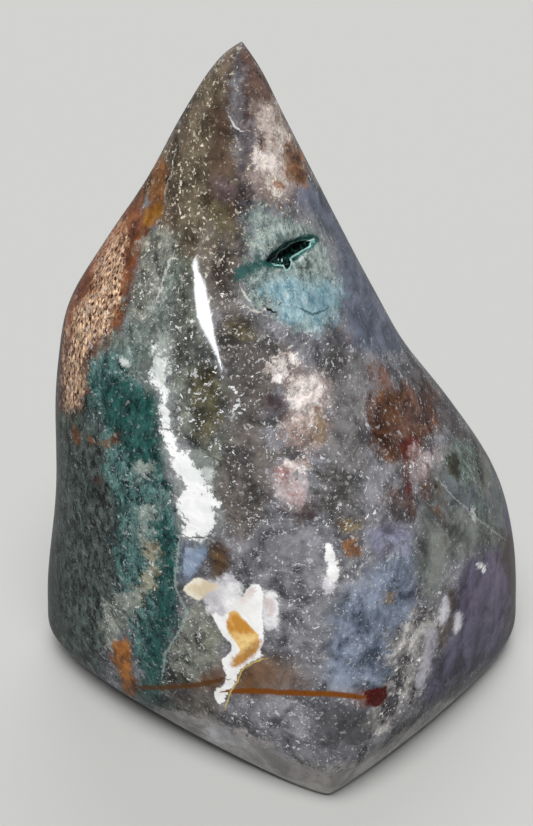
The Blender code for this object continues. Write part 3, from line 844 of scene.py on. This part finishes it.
def strokes(n, spot, pale, dark, cell, half_length, radius, pale_share, pit_share):
    """Short strokes, one to a cell, each with its own lean and glow: pale ones, their shadows and pits."""
    grid = n.add("ShaderNodeTexVoronoi", {"Vector": spot, "Scale": 1 / cell, "Randomness": 1.0})
    middle = grid.outputs["Position"]
    lean = n.vector("NORMALIZE", n.vector("SUBTRACT", grid.outputs["Color"], even(.5)))
    dice = n.add("ShaderNodeTexWhiteNoise", {"Vector": middle}).outputs
    glow, size = n.add("ShaderNodeSeparateColor", {0: dice["Color"]}).outputs[:2]
    offset = n.vector("SUBTRACT", spot, middle)
    shifted = n.vector("ADD", offset, SHADOW_SHIFT)
    thick = n.math("MULTIPLY_ADD", size, radius * THICK_SPREAD, radius * THICK_LEAST)
    wanted = n.math("SUBTRACT", n.math("MULTIPLY", pale, pale_share), dice["Value"])
    chosen = n.math("MULTIPLY", wanted, CHOICE_STEP, clamp=True)
    unwanted = n.math("ADD", n.math("MULTIPLY_ADD", dark, pit_share, -1.0), dice["Value"])
    pitted = n.math("MULTIPLY", unwanted, CHOICE_STEP, clamp=True)
    bright = rod(n, offset, lean, half_length, n.math("MULTIPLY", thick, chosen))
    shadow = rod(n, shifted, lean, half_length, n.math("MULTIPLY", thick, chosen))
    pit = rod(n, offset, lean, half_length * PIT_LENGTH, n.math("MULTIPLY", thick, pitted))
    strength = n.math("MULTIPLY_ADD", n.math("POWER", glow, GLOW_POWER), GLOW_SPREAD, GLOW_LEAST)
    depth = n.math("MULTIPLY_ADD", glow, PIT_SPREAD, PIT_LEAST)
    return [n.math("MULTIPLY", shape, shown)
            for shape, shown in ((bright, strength), (shadow, strength), (pit, depth))]


def flecked(n, spot, colour, pale, dark):
    """The colour with pale strokes, each with a dark side, and dark pits, as thick as their shares say."""
    bent = n.vector("MULTIPLY_ADD", noise_trio(n, spot, BEND_WAVES), even(STROKE_BEND), spot)
    crowd = n.math("MULTIPLY_ADD", centred_noise(n, spot, CROWD_WAVES), CROWDING, 1.0)
    pale, dark = n.math("MULTIPLY", pale, crowd), n.math("MULTIPLY", dark, crowd)
    layers = [strokes(n, bent, pale, dark, *kind) for kind in STROKES]
    warmth = n.ramp(parts(n, spot)[2], *CREAM_HEIGHTS)
    chalk = n.blend(warmth, *[tint(code) for code in FLECK_TINTS])
    for bright, shadow, pit in layers:
        shade = n.blend(DARK_DEPTH, colour, tint(SHADOW_TINT))
        colour = n.blend(n.math("MULTIPLY", shadow, SHADOW_STRENGTH), colour, shade)
        colour = n.blend(pit, colour, n.blend(DARK_DEPTH, colour, tint(PIT_TINT)))
        colour = n.blend(bright, colour, chalk)
    return colour


# ---------------------------------------------------------------- the stone's skin

def quad_copy():
    """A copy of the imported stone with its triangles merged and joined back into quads."""
    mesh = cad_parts[STONE_NODE].data.copy()
    bm = bmesh.new()
    bm.from_mesh(mesh)
    bmesh.ops.remove_doubles(bm, verts=bm.verts, dist=MERGE_GAP)
    bmesh.ops.join_triangles(bm, faces=bm.faces, angle_face_threshold=JOIN_BEND,
                             angle_shape_threshold=JOIN_SKEW, topology_influence=1.0)
    for face in bm.faces:
        face.smooth = True
    bm.to_mesh(mesh)
    bm.free()
    return mesh


def skin_tree():
    """Geometry nodes that round the cut faces and give the skin the gentle waves of hand polishing."""
    tree = bpy.data.node_groups.new("polished skin", "GeometryNodeTree")
    interface(tree, [("Geometry", "geometry"), ("Rounds", "int"), ("Ripple Height", "float"),
                     ("Ripple Size", "float"), ("Finish", "material")], [("Geometry", "geometry")])
    n = Nodes(tree)
    given = n.add("NodeGroupInput").outputs
    smooth = n.add("GeometryNodeSubdivisionSurface", {"Mesh": given["Geometry"], "Level": given["Rounds"]})
    place = n.vector("MULTIPLY", n.add("GeometryNodeInputPosition"), even(MM_PER_METRE))
    scale = n.math("DIVIDE", 1.0, given["Ripple Size"])
    noise = n.add("ShaderNodeTexNoise", {"Vector": place, "Scale": scale, "Detail": RIPPLE_DETAIL})
    lift = n.math("MULTIPLY", n.math("SUBTRACT", noise.outputs[0], .5), given["Ripple Height"])
    push = n.scaled(n.add("GeometryNodeInputNormal"), lift)
    moved = n.add("GeometryNodeSetPosition", {"Geometry": smooth, "Offset": push})
    real = n.add("GeometryNodeRealizeInstances", {0: moved})
    dressed = n.add("GeometryNodeSetMaterial", {"Geometry": real, "Material": given["Finish"]})
    n.feed(n.add("NodeGroupOutput").inputs["Geometry"], dressed)
    return tree


def grown(name, mesh, tree, values):
    """The mesh after a geometry nodes tree, as a plain mesh object with no modifier."""
    source = bpy.data.objects.new(name, mesh)
    bpy.context.scene.collection.objects.link(source)
    modifier = source.modifiers.new(tree.name, "NODES")
    modifier.node_group = tree
    for item in tree.interface.items_tree:
        if item.in_out == "INPUT" and item.name in values:
            modifier[item.identifier] = values[item.name]
    bpy.context.view_layer.update()
    shape = bpy.data.meshes.new_from_object(source.evaluated_get(bpy.context.evaluated_depsgraph_get()))
    bpy.data.objects.remove(source)
    shape.name = name
    piece = bpy.data.objects.new(name, shape)
    bpy.context.scene.collection.objects.link(piece)
    return piece


def mark_names():
    """The name of each mark that the skin's points carry."""
    return [b.name for b in BEDS] + [v.name + part for v in VEINS for part in ("", "_far")]


def skin_points(mesh):
    """The places and the normals of a mesh's points."""
    places, normals = np.empty(len(mesh.vertices) * 3), np.empty(len(mesh.vertices) * 3)
    mesh.vertices.foreach_get("co", places)
    mesh.vertex_normals.foreach_get("vector", normals)
    return places.reshape(-1, 3), normals.reshape(-1, 3)


def bed_reach(bed, sheets, looks, depth):
    """How far each point of the skin lies inside a bed, in sheet steps; less than 0 outside."""
    reach = np.full(len(depth), -FAR_REACH)
    for side, outlines in (("front", bed.front), ("back", bed.back)):
        for outline in outlines:
            inside = loop_reach(sheets[side], outline)
            if bed.deep and side == "front":
                near = np.median(depth[(inside > 0) & (looks[side] > WRAP)])
                inside = np.where(depth < near + bed.deep * MM, inside, -FAR_REACH)
            else:
                inside = np.minimum(inside, (looks[side] + WRAP) * FAR_REACH)
            reach = np.maximum(reach, inside + bed.grow)
    return reach


def mark_beds(piece):
    """Writes each bed's reach and each vein's two distances onto the skin's points, three to a vector."""
    mesh = piece.data
    points, normals = skin_points(mesh)
    sights = {"front": FRONT_SIGHT, "back": BACK_SIGHT}
    sheets = {side: on_sheet(points, sight) for side, sight in sights.items()}
    looks = {side: facing(points, normals, sight) for side, sight in sights.items()}
    eye, _, _, forward = sight_frame(*FRONT_SIGHT)
    depth = (points - eye) @ forward
    marks = {b.name: bed_reach(b, sheets, looks, depth) for b in BEDS}
    for v in VEINS:
        offset, far = line_offset(sheets[v.sheet], v.path)
        marks[v.name] = offset
        marks[v.name + "_far"] = far + np.maximum(0, -(looks[v.sheet] + WRAP) * FAR_REACH)
    names = mark_names()
    for start in range(0, len(names), 3):
        rows = np.zeros((len(points), 3), dtype=np.float32)
        for column, name in enumerate(names[start:start + 3]):
            rows[:, column] = marks[name]
        layer = mesh.attributes.new(f"marks_{start // 3}", "FLOAT_VECTOR", "POINT")
        layer.data.foreach_set("vector", rows.ravel())


# ---------------------------------------------------------------- crystals in the vug

def pocket_patch(piece):
    """The walls of the vug as a mesh of their own."""
    bm = bmesh.new()
    bm.from_mesh(piece.data)
    row, column = divmod(mark_names().index("slit_dark"), 3)
    depth = bm.verts.layers.float_vector[f"marks_{row}"]
    outside = [f for f in bm.faces if min(v[depth][column] for v in f.verts) < DRUSE_EDGE]
    bmesh.ops.delete(bm, geom=outside, context="FACES")
    patch = bpy.data.meshes.new("pocket walls")
    bm.to_mesh(patch)
    bm.free()
    patch.materials.clear()
    return patch


def druse_tree():
    """Geometry nodes that stand small six-sided crystals on the vug's walls."""
    tree = bpy.data.node_groups.new("crystal druse", "GeometryNodeTree")
    interface(tree, [("Geometry", "geometry"), ("Crystals Per Metre2", "float"), ("Length", "float"),
                     ("Width", "float"), ("Tilt", "float"), ("Seed", "int"), ("Finish", "material")],
              [("Geometry", "geometry")])
    n = Nodes(tree)
    given = n.add("NodeGroupInput").outputs
    spots = n.add("GeometryNodeDistributePointsOnFaces", {"Mesh": given["Geometry"], "Seed": given["Seed"],
                                                          "Density": given["Crystals Per Metre2"]})
    prism = n.add("GeometryNodeMeshCylinder", {"Vertices": CRYSTAL_SIDES, "Side Segments": 2,
                                               "Depth": given["Length"],
                                               "Radius": n.math("DIVIDE", given["Width"], 2.0)})
    pinch = n.vector("MULTIPLY", n.add("GeometryNodeInputPosition"), (POINT_PINCH, POINT_PINCH, 0))
    crystal = n.add("GeometryNodeSetPosition", {"Geometry": prism.outputs["Mesh"], "Offset": pinch,
                                                "Selection": prism.outputs["Top"]})
    sway = n.add("FunctionNodeRandomValue", {"Seed": given["Seed"]}, data_type="FLOAT_VECTOR")
    n.feed(sway.inputs[0], SWAY_LOW)
    n.feed(sway.inputs[1], SWAY_HIGH)
    leant = n.add("FunctionNodeRotateRotation", {"Rotation": spots.outputs["Rotation"]},
                  rotation_space="LOCAL")
    n.feed(leant.inputs[1], n.scaled(sway.outputs[0], given["Tilt"]))
    size = n.add("FunctionNodeRandomValue", {2: SMALLEST_CRYSTAL, 3: LARGEST_CRYSTAL,
                                             "Seed": n.math("ADD", given["Seed"], 1.0)}, data_type="FLOAT")
    stood = n.add("GeometryNodeInstanceOnPoints", {"Points": spots.outputs["Points"], "Instance": crystal,
                                                   "Rotation": leant, "Scale": size.outputs[1]})
    real = n.add("GeometryNodeRealizeInstances", {0: stood})
    flat = n.add("GeometryNodeSetShadeSmooth", {"Geometry": real, "Shade Smooth": False})
    dressed = n.add("GeometryNodeSetMaterial", {"Geometry": flat, "Material": given["Finish"]})
    n.feed(n.add("NodeGroupOutput").inputs["Geometry"], dressed)
    return tree


def crystal_shader():
    """Dark green glassy crystal, paler here and there."""
    material, n = blank_material("green druse")
    spot = object_place(n)
    mottle = n.math("MULTIPLY_ADD", centred_noise(n, spot, CRYSTAL_WAVES), CRYSTAL_CONTRAST, CRYSTAL_MIDDLE,
                    clamp=True)
    colour = n.blend(mottle, *[tint(code) for code in CRYSTAL_TINTS])
    skin = n.add("ShaderNodeBsdfPrincipled", {"Base Color": colour, "Roughness": CRYSTAL_ROUGHNESS,
                                              "IOR": QUARTZ_IOR})
    n.feed(n.add("ShaderNodeOutputMaterial").inputs["Surface"], skin)
    return material


# ---------------------------------------------------------------- floor, light and camera

def floor():
    """A plain pale floor, which throws light on the stone but doesn't show in its polish."""
    material = bpy.data.materials.new("pale floor")
    material.use_nodes = True
    skin = material.node_tree.nodes["Principled BSDF"]
    skin.inputs["Base Color"].default_value = tint(FLOOR_TINT)
    skin.inputs["Roughness"].default_value = FLOOR_ROUGHNESS
    mesh = bpy.data.meshes.new("floor")
    corners = [(x * FLOOR_HALF, y * FLOOR_HALF, 0) for x, y in ((-1, -1), (1, -1), (1, 1), (-1, 1))]
    mesh.from_pydata(corners, [], [(0, 1, 2, 3)])
    mesh.materials.append(material)
    board = bpy.data.objects.new("floor", mesh)
    board.visible_glossy = False
    bpy.context.scene.collection.objects.link(board)


def soft_light(name, azimuth, elevation, spread, strength):
    """A wide soft light that looks at the stone from that direction and lights all the floor evenly."""
    back = Vector(direction(azimuth, elevation))
    light = bpy.data.lights.new(name, "SUN")
    light.angle, light.energy = math.radians(spread), strength
    lamp = bpy.data.objects.new(name, light)
    lamp.location = back
    lamp.rotation_euler = back.to_track_quat("Z", "Y").to_euler()
    bpy.context.scene.collection.objects.link(lamp)


def gleam():
    """A thin bent ribbon of light low on the left, whose reflection is the streak on the skin."""
    bm = bmesh.new()
    rows = []
    for azimuth, elevation, thick in GLEAM:
        ends = [Vector(direction(azimuth, elevation + side * thick)) for side in (-.5, .5)]
        rows.append([bm.verts.new(Vector(GLEAM_CENTRE) + out * GLEAM_DISTANCE) for out in ends])
    for (a, b), (c, d) in zip(rows[:-1], rows[1:]):
        bm.faces.new((a, c, d, b))
    mesh = bpy.data.meshes.new("gleam ribbon")
    bm.to_mesh(mesh)
    bm.free()
    glow, n = blank_material("gleam")
    n.feed(n.add("ShaderNodeOutputMaterial").inputs["Surface"],
           n.add("ShaderNodeEmission", {"Color": tint(GLEAM_TINT), "Strength": GLEAM_GLOW}))
    mesh.materials.append(glow)
    ribbon = bpy.data.objects.new("gleam_ribbon", mesh)
    ribbon.visible_camera = ribbon.visible_diffuse = False
    bpy.context.scene.collection.objects.link(ribbon)


def room():
    """A dim room to light the stone's shade, with a plain pale wall where the camera looks past the floor."""
    world = bpy.data.worlds.new("room")
    bpy.context.scene.world = world
    world.use_nodes = True
    world.node_tree.nodes.clear()
    n = Nodes(world.node_tree)
    dim = n.add("ShaderNodeBackground", {"Color": tint(ROOM_TINT), "Strength": ROOM_GLOW})
    wall = n.add("ShaderNodeBackground", {"Color": tint(WALL_TINT), "Strength": 1.0})
    seen = n.add("ShaderNodeLightPath").outputs["Is Camera Ray"]
    n.feed(n.add("ShaderNodeOutputWorld").inputs["Surface"],
           n.add("ShaderNodeMixShader", {0: seen, 1: dim, 2: wall}))


def camera():
    """The camera, at the eye of the front sight line."""
    eye, _, _, forward = sight_frame(*FRONT_SIGHT)
    lens = bpy.data.cameras.new("camera")
    lens.lens, lens.sensor_width = LENS, SENSOR
    lens.clip_start, lens.clip_end = NEAR_CLIP, FAR_CLIP
    view = bpy.data.objects.new("camera", lens)
    view.location = eye
    view.rotation_euler = Vector(-forward).to_track_quat("Z", "Y").to_euler()
    bpy.context.scene.collection.objects.link(view)
    bpy.context.scene.camera = view


def polished_stone():
    """The stone, with its marks on its skin."""
    finish = stone_shader()
    stone = grown("jasper_skin", quad_copy(), skin_tree(),
                  {"Rounds": ROUNDS, "Ripple Height": RIPPLE_HEIGHT, "Ripple Size": RIPPLE_SIZE,
                   "Finish": finish})
    mark_beds(stone)
    return stone


def vug_crystals(stone):
    """The crystals on the walls of the stone's vug."""
    return grown("vug_druse", pocket_patch(stone), druse_tree(),
                 {"Crystals Per Metre2": CRYSTALS_PER_METRE2, "Length": CRYSTAL_LENGTH,
                  "Width": CRYSTAL_WIDTH, "Tilt": CRYSTAL_TILT, "Seed": CRYSTAL_SEED,
                  "Finish": crystal_shader()})


def build():
    """The stone with its crystals, and the stage round it."""
    stone = polished_stone()
    druse = vug_crystals(stone)
    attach(druse, "root")
    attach(stone, "root")
    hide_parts(STONE_NODE)
    floor()
    room()
    for light in SOFT_LIGHTS:
        soft_light(*light)
    gleam()
    camera()
    bpy.context.scene.view_settings.view_transform = "Standard"


build()
